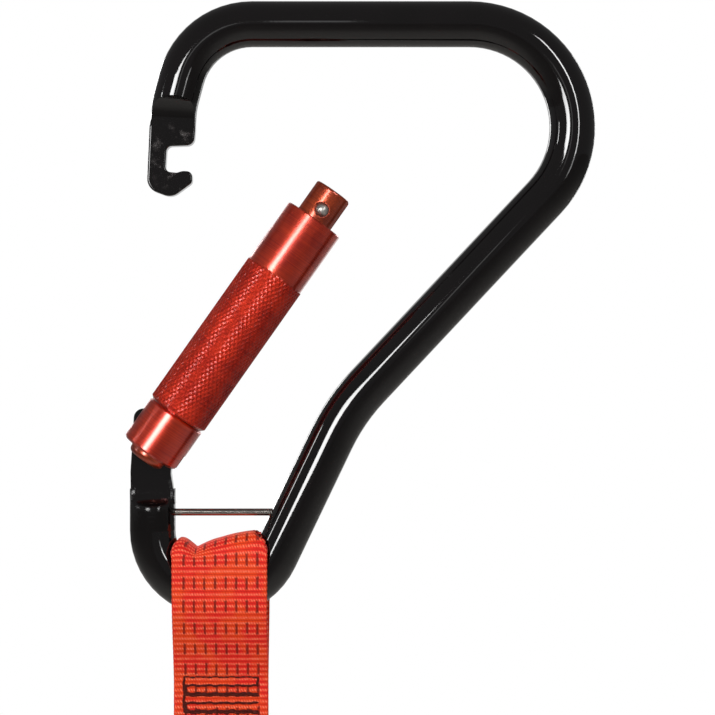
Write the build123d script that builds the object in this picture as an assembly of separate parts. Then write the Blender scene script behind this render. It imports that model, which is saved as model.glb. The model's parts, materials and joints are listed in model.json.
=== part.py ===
from build123d import *
import os
from math import atan2, cos, degrees, hypot, radians, sin, sqrt

# Twist-lock carabiner with a captive eye pin, on a sewn webbing sling.
# Millimetres. XZ is the plane of the frame, +Z up, +Y towards the back.
# The origin is the centre of the large top bend, where the anchor rests.
# The gate is modelled held fully open; it closes by turning towards -X.

# ---- frame: a forged round bar -------------------------------------------
BAR_D = 19.0             # round bar
SEAT_R = 42.75           # centreline radius of the large top bend, about the origin
TOP_RUN = 90.2           # straight top, from the seat bend to the crown bend
CROWN_R = 30.1           # centreline radius of the bend above the nose
CROWN_TURN = 75.0        # degrees turned by the crown bend
NOSE_CURL_R = 40.0       # below a short leg, the bar curls until it lies along the shut gate
NOSE_STRAIGHT = 5.0      # last of the round bar, along the shut gate
NOSE_FOOT = 12.3         # end of the round bar above the nose pin, gate shut
WAIST_X = -51.4          # corner of the long spine, where it bends inwards
WAIST_Z = -117.3
WAIST_R = 87.0           # centreline radius at that corner
BOW_X = -104.75          # centre of the small lower bow that holds the webbing
BOW_Z = -167.0
BOW_R = 26.6             # centreline radius of the bow

# ---- flattened ends of the frame: nose and hinge tang --------------------
PLATE_T = 6.4            # thickness of both flattened ends
PLATE_EDGE = 0.8         # rounded edges of the flattened ends
NOSE_RUNOUT = 10.6       # radius where the round bar runs out into the nose
NOSE_FLAT = 2.8          # the nose's flats start this far above the end of the round bar
TANG_RUNOUT = 6.2        # the same radius at the tang
TANG_FLAT = 0.6          # the tang's flats start this far below the end of the round bar
TANG_W = 16.7
TANG_TOP = 16.5          # top of the tang above the hinge
TANG_FOOT = 16.5         # where the tang's flats end below the hinge
TANG_SIDE = 9.9          # the tang's straight sides end this far below the hinge
TANG_CORNER = 4.0
CAM_STEP = 1.0           # cut beside the cam, below its low end
NOSE_BACK = 9.6          # outer edge of the nose from the nose pin
NOSE_HEEL = 13.7         # sharp outer corner of the nose, below the nose pin
NOSE_TIP = 16.9          # sharp lowest corner of the nose, below the nose pin
NOSE_TIP_X = 0.9         # that corner, inwards from the nose pin
NOSE_ROUND = 6.0         # rounding of those two corners
HOOK_END = 9.05          # end of the hook, inwards from the nose pin
HOOK_FOOT = 10.1         # sharp lower corner of the hook's end, below the nose pin
HOOK_ROUND = 2.3         # rounding of the hook's end
LIP_LEN = 4.3            # raised lip on the hook, from its end
LIP_RISE = 0.75          # how far the lip stands above the mouth's floor
LIP_DIP = 0.15           # the floor dips this much in front of the lip
NOTCH_H = 10.5           # mouth that takes the nose pin
NOTCH_DROP = 0.95        # middle of the mouth below the nose pin
NOTCH_IN = 2.4           # how far the mouth goes past the pin's centre
NOTCH_ROUND = 2.3        # rounding of the mouth's inner corners
SHOULDER_RISE = 1.1      # slope of the mouth's roof
SHOULDER_X = 8.8         # corner of the roof, inwards from the nose pin
SHOULDER_ROUND = 3.4     # rounding of that corner

# ---- captive eye pin -------------------------------------------------------
EYE_PIN_D = 3.0
EYE_PIN_Z = -159.6
EYE_PIN_SEAT = 7.0       # depth pressed into each leg

# ---- gate -------------------------------------------------------------------
HINGE_X = -131.3
HINGE_Z = -133.3
CLOSED_LEAN = 3.5        # degrees from vertical, gate shut
GATE_TRAVEL = 31.66      # degrees from open to shut
GATE_D = 17.2            # barrel
GATE_FOOT = 5.9          # barrel below the hinge
GATE_LEN = 130.4         # barrel above the hinge
FOOT_ROUND = 2.5
HEAD_ROUND = 1.0
SLOT_W = 7.0             # slots for the nose and the tang
HEAD_SLOT = 27.4         # depth of the nose slot
NOSE_PIN_Z = 121.0       # nose pin above the hinge
NOSE_PIN_X = 0.75        # nose pin off the barrel's axis, towards the frame's inside
NOSE_PIN_D = 4.6
PIN_HEAD_D = 5.8         # domed heads of the nose pin
PIN_HEAD_H = 1.9         # dome above the flat of its counterbore
PIN_RING_D = 6.6         # counterbore round each head
PIN_RING_DEPTH = 0.2     # counterbore below the barrel's turned side
HINGE_PIN_D = 5.0

# ---- fixed hinge collar and twist sleeve ------------------------------------
SLEEVE_D = 25.8
KNURL_D = 26.4           # over the knurling
COLLAR_FOOT = 2.1        # collar below the hinge
COLLAR_TOP = 17.3        # collar above the hinge
KNURL_TOP = 88.5         # end of the knurling above the hinge
SLEEVE_TOP = 116.2
EDGE = 0.9               # turned chamfers on the collar and the sleeve
POCKET_D = 20.8          # bore at the sleeve's mouth, round the nose
POCKET_H = 13.7
MOUTH_H = 13.0           # slot in the sleeve's wall that lets the nose in
CHAMBER_D = 20.4         # bore that holds the bush and the return spring
LAND_H = 12.0            # bearing length between the chamber and the pocket
BUSH_H = 26.0
GUIDE_D = 3.0            # guide pin that stops the sleeve after a quarter turn
GUIDE_DEPTH = 1.5        # how far it reaches into the barrel's groove
SLEEVE_TURN = 90.0

# ---- springs and plunger -----------------------------------------------------
PLUNGER_D = 6.0
PLUNGER_LEN = 22.0
TIP_SHUT = 10.8          # plunger tip above the hinge, gate shut
STROKE = 2.7             # how far opening the gate lifts the plunger
SPRING_BORE_TOP = 60.0
GATE_SPRING_WIRE = 0.9
GATE_SPRING_PITCH = 2.2
RETURN_WIRE = 1.0
RETURN_PITCH = 1.8

# ---- webbing sling -----------------------------------------------------------
WEB_W = 39.0
WEB_T = 2.3
WEB_X = -103.2           # middle of the webbing
FOLD_TOP = -168.3        # top of the fold over the bow
BLOCK_TOP = -226.0       # where the two plies meet
BLOCK_LEN = 80.0         # length sewn together
EYE_LEN = 58.0           # lower sewn eye
EYE_HALF = 11.0          # half thickness of the eye at its widest
SPLIT_R = 22.0           # the sling swings on a cylinder of this radius about the bow
CREASE = 0.2             # half width of the crease where the plies meet
STITCH_W = 30.5          # width of the stitched rows
STITCH_D = 0.9           # thread
STITCH_INSET = 1.6       # first row below the top of the block
ROW_PITCH = 3.6
ROWS = 5                 # rows at each end of the block

# ---- clearances ----------------------------------------------------------------
RUN = 0.05               # radial running clearance
GAP = 0.3                # between soft or swinging pieces and their neighbours
CAM_GAP = 0.08           # plunger to tang
CUT = 60.0               # long enough for a cutter to pass right through

BAR_R = BAR_D / 2
GATE_R = GATE_D / 2
OPEN_LEAN = CLOSED_LEAN + GATE_TRAVEL
BOW_BAR_Z = BOW_Z - BOW_R          # bar centre at the bottom of the bow


def xz(x, z):
    """A point of the frame's plane."""
    return Vector(x, 0, z)


def tangent_point(point, centre, radius, side):
    """Where a line from point touches a circle, on the side +1 or -1 of the centre."""
    dx, dz = point[0] - centre[0], point[1] - centre[1]
    turn = atan2(sqrt(dx * dx + dz * dz - radius * radius), radius)
    angle = atan2(dz, dx) + side * turn
    return centre[0] + radius * cos(angle), centre[1] + radius * sin(angle)


def on_circle(centre, radius, angle):
    """The point of a circle at an angle in degrees from +X towards +Z."""
    return xz(centre[0] + radius * cos(radians(angle)), centre[1] + radius * sin(radians(angle)))


def bearing(centre, point):
    """The angle in degrees from +X of a point about a centre."""
    return degrees(atan2(point[1] - centre[1], point[0] - centre[0]))


def bend(centre, radius, start, end):
    """An arc of the centreline between two angles."""
    middle = on_circle(centre, radius, (start + end) / 2)
    return ThreePointArc(on_circle(centre, radius, start), middle, on_circle(centre, radius, end))


def centreline():
    """The bar's centreline, from above the nose round to the foot of the tang."""
    seat, crown, bow = (0, 0), (-TOP_RUN, SEAT_R - CROWN_R), (BOW_X, BOW_Z)
    waist = (WAIST_X, WAIST_Z)
    crown_end = on_circle(crown, CROWN_R, 90 + CROWN_TURN)
    down = xz(-cos(radians(CROWN_TURN)), -sin(radians(CROWN_TURN)))
    inward = xz(sin(radians(CROWN_TURN)), -cos(radians(CROWN_TURN)))
    gate_down = xz(-sin(radians(CLOSED_LEAN)), -cos(radians(CLOSED_LEAN)))
    gate_in = xz(cos(radians(CLOSED_LEAN)), -sin(radians(CLOSED_LEAN)))
    curl_step = (inward - gate_in) * NOSE_CURL_R
    spare = shut_xz(crown_end + curl_step + gate_down * NOSE_STRAIGHT)[1] - NOSE_PIN_Z - NOSE_FOOT
    curl_start = crown_end + down * spare / cos(radians(90 - CROWN_TURN - CLOSED_LEAN))
    curl_end = curl_start + curl_step
    nose_start = curl_end + gate_down * NOSE_STRAIGHT
    curl_mid = curl_start + inward * NOSE_CURL_R
    curl = (curl_mid.X, curl_mid.Z)
    spine = tangent_point(waist, seat, SEAT_R, 1)
    low = tangent_point(waist, bow, BOW_R, -1)
    up_way = (xz(*spine) - xz(*waist)).normalized()
    low_way = (xz(*low) - xz(*waist)).normalized()
    half = up_way.get_angle(low_way) / 2
    reach = WAIST_R * cos(radians(half)) / sin(radians(half))
    waist_top = xz(*waist) + up_way * reach
    waist_low = xz(*waist) + low_way * reach
    middle_way = (up_way + low_way).normalized()
    waist_mid = xz(*waist) + middle_way * (WAIST_R / sin(radians(half)) - WAIST_R)
    left_foot = on_circle(bow, BOW_R, 180)
    tang_foot = xz(left_foot.X, HINGE_Z - TANG_FOOT)
    return Wire([
        Line(nose_start, curl_end),
        bend(curl, NOSE_CURL_R, 180 - CLOSED_LEAN, 90 + CROWN_TURN),
        Line(curl_start, crown_end),
        bend(crown, CROWN_R, 90 + CROWN_TURN, 90),
        Line(xz(-TOP_RUN, SEAT_R), xz(0, SEAT_R)),
        bend(seat, SEAT_R, 90, bearing(seat, spine)),
        Line(xz(*spine), waist_top),
        ThreePointArc(waist_top, waist_mid, waist_low),
        Line(waist_low, xz(*low)),
        bend(bow, BOW_R, bearing(bow, low), -180),
        Line(left_foot, tang_foot),
    ])


def swept_bar(radius):
    """A round bar of any radius along the frame's centreline."""
    path = centreline()
    section = Plane(origin=path @ 0, z_dir=path % 0) * Circle(radius)
    return sweep(section, path=path)


def at_gate(lean):
    """The gate's own frame, +Z along the barrel from the hinge, at an angle from vertical."""
    return Pos(HINGE_X, 0, HINGE_Z) * Rot(0, lean, 0)


GATE = at_gate(OPEN_LEAN)
SHUT = at_gate(CLOSED_LEAN)


def shut_xz(point):
    """A point of the frame's plane, measured from the hinge along the shut gate."""
    dx, dz, lean = point.X - HINGE_X, point.Z - HINGE_Z, radians(CLOSED_LEAN)
    return dx * cos(lean) - dz * sin(lean), dx * sin(lean) + dz * cos(lean)


def across(radius, length):
    """A cylinder along Y."""
    return Rot(90, 0, 0) * Cylinder(radius, length)


def flat_plate(outline, thickness, edge):
    """A plate in the XZ plane from a closed outline, with rounded edges."""
    face = Plane.XZ * make_face(outline)
    plate = extrude(face, thickness / 2, both=True)
    rims = plate.faces().filter_by(Axis.Y).edges()
    return fillet(rims, edge) if edge else plate


def run_out(radius, height, way):
    """Cutters that flatten both sides of the bar; the flats end in a curve at a height."""
    cutters = []
    reach = way * CUT / 2
    for side in (-1, 1):
        y = side * (PLATE_T / 2 + CUT / 2)
        cutters += [Pos(0, y, height + reach) * Box(CUT, CUT, CUT)]
        end = Pos(0, side * (PLATE_T / 2 + radius), height) * Rot(0, 90, 0)
        cutters += [end * Cylinder(radius, CUT)]
    return cutters


def cam_points():
    """Three points of the tang's cam, so that the plunger rises evenly as the gate opens."""
    ball = PLUNGER_D / 2 + CAM_GAP
    rise = STROKE / radians(GATE_TRAVEL)
    points = []
    for step in (0, 0.5, 1):
        turn = radians(GATE_TRAVEL) * step
        reach = TIP_SHUT + PLUNGER_D / 2 + STROKE * step
        x, z = reach * sin(turn), reach * cos(turn)
        along_x = rise * sin(turn) + reach * cos(turn)
        along_z = rise * cos(turn) - reach * sin(turn)
        size = hypot(along_x, along_z)
        points.append((x + ball * along_z / size, z - ball * along_x / size))
    return points


def tang():
    """The flattened end inside the gate: hinge bore, high outer corner and plunger cam."""
    half = TANG_W / 2
    start, middle, end = cam_points()
    wall = -(PLUNGER_D / 2 + 2 * GAP)
    floor = start[1] - CAM_STEP
    leg = BOW_X - BOW_R
    flare = shut_xz(xz(leg + BAR_R, HINGE_Z - TANG_FOOT - TANG_RUNOUT))
    heel = shut_xz(xz(leg - BAR_R + PLATE_EDGE, HINGE_Z - TANG_FOOT - TANG_RUNOUT))
    outline = [
        Line(end, (half, end[1] - PLATE_EDGE)),
        Line((half, end[1] - PLATE_EDGE), (half, -TANG_SIDE)),
        Line((half, -TANG_SIDE), flare),
        Line(flare, heel),
        Line(heel, (-half, -TANG_SIDE)),
        Line((-half, -TANG_SIDE), (-half, TANG_TOP - TANG_CORNER)),
        RadiusArc((-half, TANG_TOP - TANG_CORNER), (-half + TANG_CORNER, TANG_TOP), TANG_CORNER),
        Line((-half + TANG_CORNER, TANG_TOP), (wall, TANG_TOP)),
        Line((wall, TANG_TOP), (wall, floor)),
        Line((wall, floor), start),
        ThreePointArc(start, middle, end),
    ]
    plate = flat_plate(outline, PLATE_T, 0)
    bore = across(HINGE_PIN_D / 2 + RUN, CUT)
    return SHUT * (plate - bore)


def nose_xz(point):
    """A point of the frame's plane, measured from the nose pin along the shut gate."""
    x, z = shut_xz(point)
    return x - NOSE_PIN_X, z - NOSE_PIN_Z


def nose():
    """The flattened hook that the gate's pin drops into; drawn about the pin, gate shut."""
    low = -NOTCH_DROP - NOTCH_H / 2
    high = low + NOTCH_H
    foot, leg = centreline() @ 0, centreline() % 0
    outward = xz(-leg.Z, leg.X)
    root = foot + leg * NOSE_RUNOUT / 2
    corners = [
        nose_xz(root + outward * (BAR_R - PLATE_EDGE)),
        nose_xz(foot + outward * BAR_R),
        (-NOSE_BACK, -NOSE_HEEL),
        (NOSE_TIP_X, -NOSE_TIP),
        (HOOK_END, -HOOK_FOOT),
        (HOOK_END - LIP_RISE / 2, low + LIP_RISE),
        (HOOK_END - LIP_LEN, low + LIP_RISE),
        (NOTCH_IN, low - LIP_DIP),
        (-NOTCH_IN, low),
        (-NOTCH_IN, high),
        (SHOULDER_X, high + SHOULDER_RISE),
        nose_xz(foot - outward * BAR_R),
        nose_xz(root - outward * (BAR_R - PLATE_EDGE)),
    ]
    hook = [HOOK_ROUND, HOOK_ROUND, 2 * HOOK_ROUND, HOOK_ROUND]
    mouth = [NOTCH_ROUND, NOTCH_ROUND, SHOULDER_ROUND]
    radii = [PLATE_EDGE, NOSE_ROUND, NOSE_ROUND, NOSE_ROUND, *hook, *mouth, NOSE_ROUND, PLATE_EDGE]
    outline = FilletPolyline(*corners, radius=radii, close=True)
    plate = flat_plate([outline], PLATE_T, PLATE_EDGE)
    return SHUT * Pos(NOSE_PIN_X, 0, NOSE_PIN_Z) * plate


def eye_pin_ends():
    """The two ends of the captive pin, inside the legs of the bow."""
    low = tangent_point((WAIST_X, WAIST_Z), (BOW_X, BOW_Z), BOW_R, -1)
    lean = (WAIST_X - low[0]) / (WAIST_Z - low[1])
    right = low[0] + (EYE_PIN_Z - low[1]) * lean - BAR_R * sqrt(1 + lean * lean)
    left = BOW_X - BOW_R + BAR_R
    return left - EYE_PIN_SEAT, right + EYE_PIN_SEAT


def eye_pin(radius):
    """A cylinder across the bow's eye, from leg to leg."""
    left, right = eye_pin_ends()
    place = Pos((left + right) / 2, 0, EYE_PIN_Z) * Rot(0, 90, 0)
    return place * Cylinder(radius, right - left)


def carabiner_frame():
    """One forging: bent bar, flattened nose and tang, drilled for its pins."""
    frame = swept_bar(BAR_R)
    nose_foot = centreline() @ 0
    for cutter in run_out(NOSE_RUNOUT, 0, -1):
        frame -= Pos(nose_foot) * Rot(0, CLOSED_LEAN, 0) * Pos(0, 0, NOSE_FLAT) * cutter
    for cutter in run_out(TANG_RUNOUT, 0, 1):
        frame -= Pos(BOW_X - BOW_R, 0, HINGE_Z - TANG_FOOT - TANG_FLAT) * cutter
    frame += nose()
    frame += tang()
    return frame - eye_pin(EYE_PIN_D / 2)


def captive_pin():
    """Steel pin pressed across the bow, which keeps the webbing in."""
    return eye_pin(EYE_PIN_D / 2)


def guide_groove():
    """Quarter-turn groove in the barrel for the sleeve's guide pin."""
    width = GUIDE_D + 2 * RUN
    floor = GATE_R - GUIDE_DEPTH - 2 * RUN
    section = Plane.XZ * Pos(GATE_R, 0) * Rectangle(2 * (GATE_R - floor), width)
    groove = revolve(section, Axis.Z, SLEEVE_TURN)
    for angle in (0, SLEEVE_TURN):
        end = Rot(0, 0, angle) * Pos(GATE_R, 0, 0) * Rot(0, 90, 0)
        groove += end * Cylinder(width / 2, 2 * (GATE_R - floor))
    return Pos(0, 0, guide_height()) * groove


def guide_height():
    """The guide pin's place on the barrel, in the middle of the sleeve's upper land."""
    return SLEEVE_TOP - POCKET_H - LAND_H / 2


def gate_barrel():
    """Turned barrel, slotted at the head for the nose and at the foot for the tang."""
    length = GATE_LEN + GATE_FOOT
    barrel = Pos(0, 0, (GATE_LEN - GATE_FOOT) / 2) * Cylinder(GATE_R, length)
    rims = barrel.edges().filter_by(GeomType.CIRCLE).sort_by(Axis.Z)
    barrel = fillet(rims[0], FOOT_ROUND)
    barrel = fillet(barrel.edges().filter_by(GeomType.CIRCLE).sort_by(Axis.Z)[-1], HEAD_ROUND)
    barrel -= Pos(0, 0, GATE_LEN) * Box(CUT, SLOT_W, 2 * HEAD_SLOT)
    tang_reach = hypot(TANG_W / 2 - TANG_CORNER, TANG_TOP - TANG_CORNER) + TANG_CORNER
    slot_top = tang_reach + 2 * GAP
    barrel -= Pos(0, 0, slot_top / 2 - CUT / 2) * Box(CUT, SLOT_W, slot_top + CUT)
    bore = SPRING_BORE_TOP - slot_top
    barrel -= Pos(0, 0, slot_top + bore / 2) * Cylinder(PLUNGER_D / 2 + RUN, bore + 0.2)
    barrel -= across(HINGE_PIN_D / 2, CUT)
    barrel -= Pos(NOSE_PIN_X, 0, NOSE_PIN_Z) * across(NOSE_PIN_D / 2, CUT)
    for side in (-1, 1):
        ring = Pos(NOSE_PIN_X, side * (pin_seat() + CUT / 2), NOSE_PIN_Z)
        barrel -= ring * across(PIN_RING_D / 2, CUT)
    return GATE * (barrel - guide_groove())


def pin_seat():
    """How far the flats under the nose pin's heads lie from the barrel's middle."""
    return sqrt(GATE_R ** 2 - (NOSE_PIN_X + PIN_RING_D / 2) ** 2) - PIN_RING_DEPTH


def nose_pin():
    """Polished pin across the head slot; it drops into the nose's mouth."""
    seat = pin_seat()
    radius = PIN_HEAD_D / 2
    pin = across(NOSE_PIN_D / 2, 2 * seat)
    ball = (radius ** 2 + PIN_HEAD_H ** 2) / (2 * PIN_HEAD_H)
    for side in (-1, 1):
        dome = Pos(0, side * (seat + PIN_HEAD_H - ball), 0) * Sphere(ball)
        slab = Pos(0, side * (seat + PIN_HEAD_H / 2), 0) * across(radius, PIN_HEAD_H)
        pin += dome & slab
    return GATE * Pos(NOSE_PIN_X, 0, NOSE_PIN_Z) * pin


def hinge_pin():
    """Steel pin through the barrel and the tang; its ends are hidden by the collar."""
    return GATE * across(HINGE_PIN_D / 2, 2 * sqrt(GATE_R ** 2 - (HINGE_PIN_D / 2) ** 2))


def turned_ring(radius, low, high, chamfers):
    """A turned blank from one height to another, with chamfered rims."""
    blank = Pos(0, 0, (low + high) / 2) * Cylinder(radius, high - low)
    rims = blank.edges().filter_by(GeomType.CIRCLE)
    return chamfer(rims, chamfers)


def hinge_collar():
    """Fixed band over the hinge pin, slotted so that the tang can turn through it."""
    collar = turned_ring(SLEEVE_D / 2, -COLLAR_FOOT, COLLAR_TOP, EDGE)
    collar -= Cylinder(GATE_R, CUT * 2)
    outer_slot = TANG_TOP
    inner_slot = TANG_W / 2 * sin(radians(GATE_TRAVEL)) + 2 * GAP
    collar -= Pos(-CUT / 2, 0, outer_slot - CUT / 2) * Box(CUT, SLOT_W, CUT)
    collar -= Pos(CUT / 2, 0, inner_slot - CUT / 2) * Box(CUT, SLOT_W, CUT)
    relief = TANG_W / 2 + GAP
    return GATE * (collar - Pos(relief / 2, 0, outer_slot - CUT / 2) * Box(relief, SLOT_W, CUT))


def lock_sleeve():
    """Knurled twist sleeve: bearing land, spring chamber, and a slotted mouth for the nose."""
    foot = COLLAR_TOP + GAP
    grip = turned_ring(KNURL_D / 2, foot, KNURL_TOP, EDGE)
    band = turned_ring(SLEEVE_D / 2, KNURL_TOP - 2 * EDGE, SLEEVE_TOP, EDGE / 2)
    sleeve = grip + band
    pocket = SLEEVE_TOP - POCKET_H
    chamber_top = pocket - LAND_H
    sleeve -= Pos(0, 0, pocket + CUT / 2) * Cylinder(POCKET_D / 2, CUT)
    sleeve -= Pos(0, 0, SLEEVE_TOP / 2) * Cylinder(GATE_R + RUN, 2 * SLEEVE_TOP)
    sleeve -= Pos(0, 0, chamber_top - CUT) * Cylinder(CHAMBER_D / 2, 2 * CUT)
    sleeve -= Pos(-CUT / 2, 0, SLEEVE_TOP - MOUTH_H + CUT / 2) * Box(CUT, SLOT_W, CUT)
    return GATE * (sleeve - guide_blank(CUT))


def guide_blank(outer):
    """A radial pin at the back of the barrel, out to a given radius."""
    inner = GATE_R - GUIDE_DEPTH
    place = Pos(0, (inner + outer) / 2, guide_height())
    return place * across(GUIDE_D / 2, outer - inner)


def sleeve_guide_pin():
    """Pin pressed through the sleeve; it holds it on the barrel and stops its turn."""
    return GATE * guide_blank(SLEEVE_D / 2 - 0.2)


def sleeve_bush():
    """Bush pressed into the foot of the sleeve; it runs on the barrel."""
    foot = COLLAR_TOP + GAP
    bush = Pos(0, 0, foot + BUSH_H / 2) * Cylinder(CHAMBER_D / 2, BUSH_H)
    return GATE * (bush - Cylinder(GATE_R + RUN, 2 * SLEEVE_TOP))


def coil(radius, wire, pitch, low, high):
    """A helical spring between two heights on the gate's axis, ends included."""
    path = Helix(pitch=pitch, height=high - low - wire, radius=radius)
    section = Plane(origin=path @ 0, z_dir=path % 0) * Circle(wire / 2)
    return Pos(0, 0, low + wire / 2) * sweep(section, path=path, is_frenet=True)


def gate_plunger():
    """Round-nosed plunger that pushes on the tang's cam."""
    radius = PLUNGER_D / 2
    tip = TIP_SHUT + STROKE
    stem = Pos(0, 0, tip + (radius + PLUNGER_LEN) / 2) * Cylinder(radius, PLUNGER_LEN - radius)
    return GATE * (stem + Pos(0, 0, tip + radius) * Sphere(radius))


def gate_spring():
    """Compression spring above the plunger, drawn as short as the open gate makes it."""
    low = TIP_SHUT + STROKE + PLUNGER_LEN
    mean = PLUNGER_D / 2 - GATE_SPRING_WIRE / 2 - RUN
    return GATE * coil(mean, GATE_SPRING_WIRE, GATE_SPRING_PITCH, low + RUN, SPRING_BORE_TOP - RUN)


def sleeve_spring():
    """Torsion spring round the barrel, between the bush and the upper land."""
    low = COLLAR_TOP + GAP + BUSH_H + GAP
    high = SLEEVE_TOP - POCKET_H - LAND_H - GAP
    mean = GATE_R + RETURN_WIRE / 2 + 4 * RUN
    return GATE * coil(mean, RETURN_WIRE, RETURN_PITCH, low, high)


def web_loop(half, top, bottom, flare):
    """Side outline of a webbing loop: round top, straight flanks, then in to the block."""
    bar_low = BOW_BAR_Z - BAR_R / 2
    return [
        ThreePointArc((-half, top - half), (0, top), (half, top - half)),
        Line((half, top - half), (half, bar_low)),
        Line((half, bar_low), (flare, bottom)),
        Line((flare, bottom), (-flare, bottom)),
        Line((-flare, bottom), (-half, bar_low)),
        Line((-half, bar_low), (-half, top - half)),
    ]


def side_plate(outline):
    """A YZ outline made as wide as the webbing."""
    face = Plane.YZ * make_face(outline)
    return Pos(WEB_X, 0, 0) * extrude(face, WEB_W / 2, both=True)


def upper_loop():
    """The webbing's upper loop round the bow, down to the block, as one ply thick walls."""
    inner = BAR_R + 2 * GAP
    outer = inner + WEB_T
    shell = side_plate(web_loop(outer, FOLD_TOP, BLOCK_TOP, WEB_T))
    hollow = side_plate(web_loop(inner, FOLD_TOP - WEB_T, BLOCK_TOP + WEB_T, CREASE))
    return shell - hollow


def swing_cylinder(radius):
    """A cylinder across the bow on which the fold and the sling part."""
    return Pos(WEB_X, 0, BOW_BAR_Z) * Rot(0, 90, 0) * Cylinder(radius, 2 * WEB_W)


def webbing_fold():
    """The part of the webbing that lies over the bow and stays with it."""
    loop = upper_loop()
    low = Pos(WEB_X, 0, BOW_BAR_Z - CUT / 2) * Box(2 * WEB_W, CUT, CUT)
    below = low - swing_cylinder(SPLIT_R - GAP)
    return loop - below - swept_bar(BAR_R + GAP)


def lower_eye():
    """The sewn eye at the sling's end: two plies that part and come round."""
    top = BLOCK_TOP - BLOCK_LEN
    end = top - EYE_LEN
    wide = end + EYE_HALF

    def loop(half, foot, flare, high):
        return [
            Line((-flare, high), (flare, high)),
            Line((flare, high), (half, high - 3 * EYE_HALF / 2)),
            Line((half, high - 3 * EYE_HALF / 2), (half, wide)),
            ThreePointArc((half, wide), (0, foot), (-half, wide)),
            Line((-half, wide), (-half, high - 3 * EYE_HALF / 2)),
            Line((-half, high - 3 * EYE_HALF / 2), (-flare, high)),
        ]

    shell = side_plate(loop(EYE_HALF, end, WEB_T, top))
    return shell - side_plate(loop(EYE_HALF - WEB_T, end + WEB_T, CREASE, top - WEB_T))


def webbing_sling():
    """The hanging strap: the plies below the bow, the sewn block and the lower eye."""
    above = Pos(WEB_X, 0, BOW_BAR_Z + CUT / 2) * Box(2 * WEB_W, CUT, CUT)
    plies = upper_loop() - above - swing_cylinder(SPLIT_R)
    block = Pos(WEB_X, 0, BLOCK_TOP - BLOCK_LEN / 2) * Box(WEB_W, 2 * WEB_T, BLOCK_LEN)
    return plies + block + lower_eye()


def stitched_rows(first):
    """Rows of thick thread on both faces of the block, from a first row downwards."""
    group = []
    for side in (-1, 1):
        for row in range(ROWS):
            height = first - row * ROW_PITCH
            place = Pos(WEB_X, side * (WEB_T + STITCH_D / 2), height)
            group.append(place * Box(STITCH_W, STITCH_D, STITCH_D))
    return Compound(children=group)


def upper_stitching():
    """Thread rows at the top of the block, just under the bow."""
    return stitched_rows(BLOCK_TOP - STITCH_INSET)


def lower_stitching():
    """Thread rows at the foot of the block, above the lower eye."""
    return stitched_rows(BLOCK_TOP - BLOCK_LEN + STITCH_INSET + (ROWS - 1) * ROW_PITCH)


NODES = {
    "carabiner_frame": carabiner_frame,
    "captive_pin": captive_pin,
    "gate_barrel": gate_barrel,
    "hinge_pin": hinge_pin,
    "nose_pin": nose_pin,
    "hinge_collar": hinge_collar,
    "lock_sleeve": lock_sleeve,
    "sleeve_bush": sleeve_bush,
    "sleeve_guide_pin": sleeve_guide_pin,
    "sleeve_spring": sleeve_spring,
    "gate_plunger": gate_plunger,
    "gate_spring": gate_spring,
    "webbing_fold": webbing_fold,
    "webbing_sling": webbing_sling,
    "upper_stitching": upper_stitching,
    "lower_stitching": lower_stitching,
}

os.makedirs("parts", exist_ok=True)
for name, make in NODES.items():
    export_step(make(), f"parts/{name}.step")
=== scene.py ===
import json
from math import cos, pi, radians, sin, sqrt, tan

import bmesh
import bpy
import numpy as np
from mathutils import Matrix, Vector


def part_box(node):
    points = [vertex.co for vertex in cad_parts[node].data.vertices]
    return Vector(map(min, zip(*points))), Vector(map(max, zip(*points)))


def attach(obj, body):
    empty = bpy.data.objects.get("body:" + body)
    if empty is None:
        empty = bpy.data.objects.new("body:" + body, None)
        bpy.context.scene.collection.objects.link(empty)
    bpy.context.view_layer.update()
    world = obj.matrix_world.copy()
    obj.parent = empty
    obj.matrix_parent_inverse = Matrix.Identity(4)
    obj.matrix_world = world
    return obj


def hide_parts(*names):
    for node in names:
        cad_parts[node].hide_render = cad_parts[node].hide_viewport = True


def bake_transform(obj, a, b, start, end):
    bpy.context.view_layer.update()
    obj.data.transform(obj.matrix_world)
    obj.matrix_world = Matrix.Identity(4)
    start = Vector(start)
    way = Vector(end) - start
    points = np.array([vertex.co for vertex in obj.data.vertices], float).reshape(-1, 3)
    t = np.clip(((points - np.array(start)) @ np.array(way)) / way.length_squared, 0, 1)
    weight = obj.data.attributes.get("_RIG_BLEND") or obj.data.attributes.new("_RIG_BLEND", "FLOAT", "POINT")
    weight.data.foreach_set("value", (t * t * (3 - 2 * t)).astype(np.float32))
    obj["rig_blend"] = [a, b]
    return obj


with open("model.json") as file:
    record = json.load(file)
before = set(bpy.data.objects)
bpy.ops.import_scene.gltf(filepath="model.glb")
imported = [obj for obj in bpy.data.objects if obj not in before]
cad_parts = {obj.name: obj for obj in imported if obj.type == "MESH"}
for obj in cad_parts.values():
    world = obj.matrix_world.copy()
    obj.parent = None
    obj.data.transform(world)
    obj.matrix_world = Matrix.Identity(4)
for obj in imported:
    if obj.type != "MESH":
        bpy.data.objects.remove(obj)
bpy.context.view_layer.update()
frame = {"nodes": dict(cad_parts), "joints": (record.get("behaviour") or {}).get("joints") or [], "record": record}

# A twist-lock carabiner with a captive pin across its lower eye, on a sewn webbing sling.
# Metres, in the CAD frame: XZ is the plane of the frame, +Z up, +Y towards the back.


# ---- Frame ---------------------------------------------------------------------------
# The frame is one forged aluminium bar, bent and flattened at both ends. It is polished,
# then anodised and dyed black, so it is a deep gloss black that mirrors the lamps.

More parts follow.
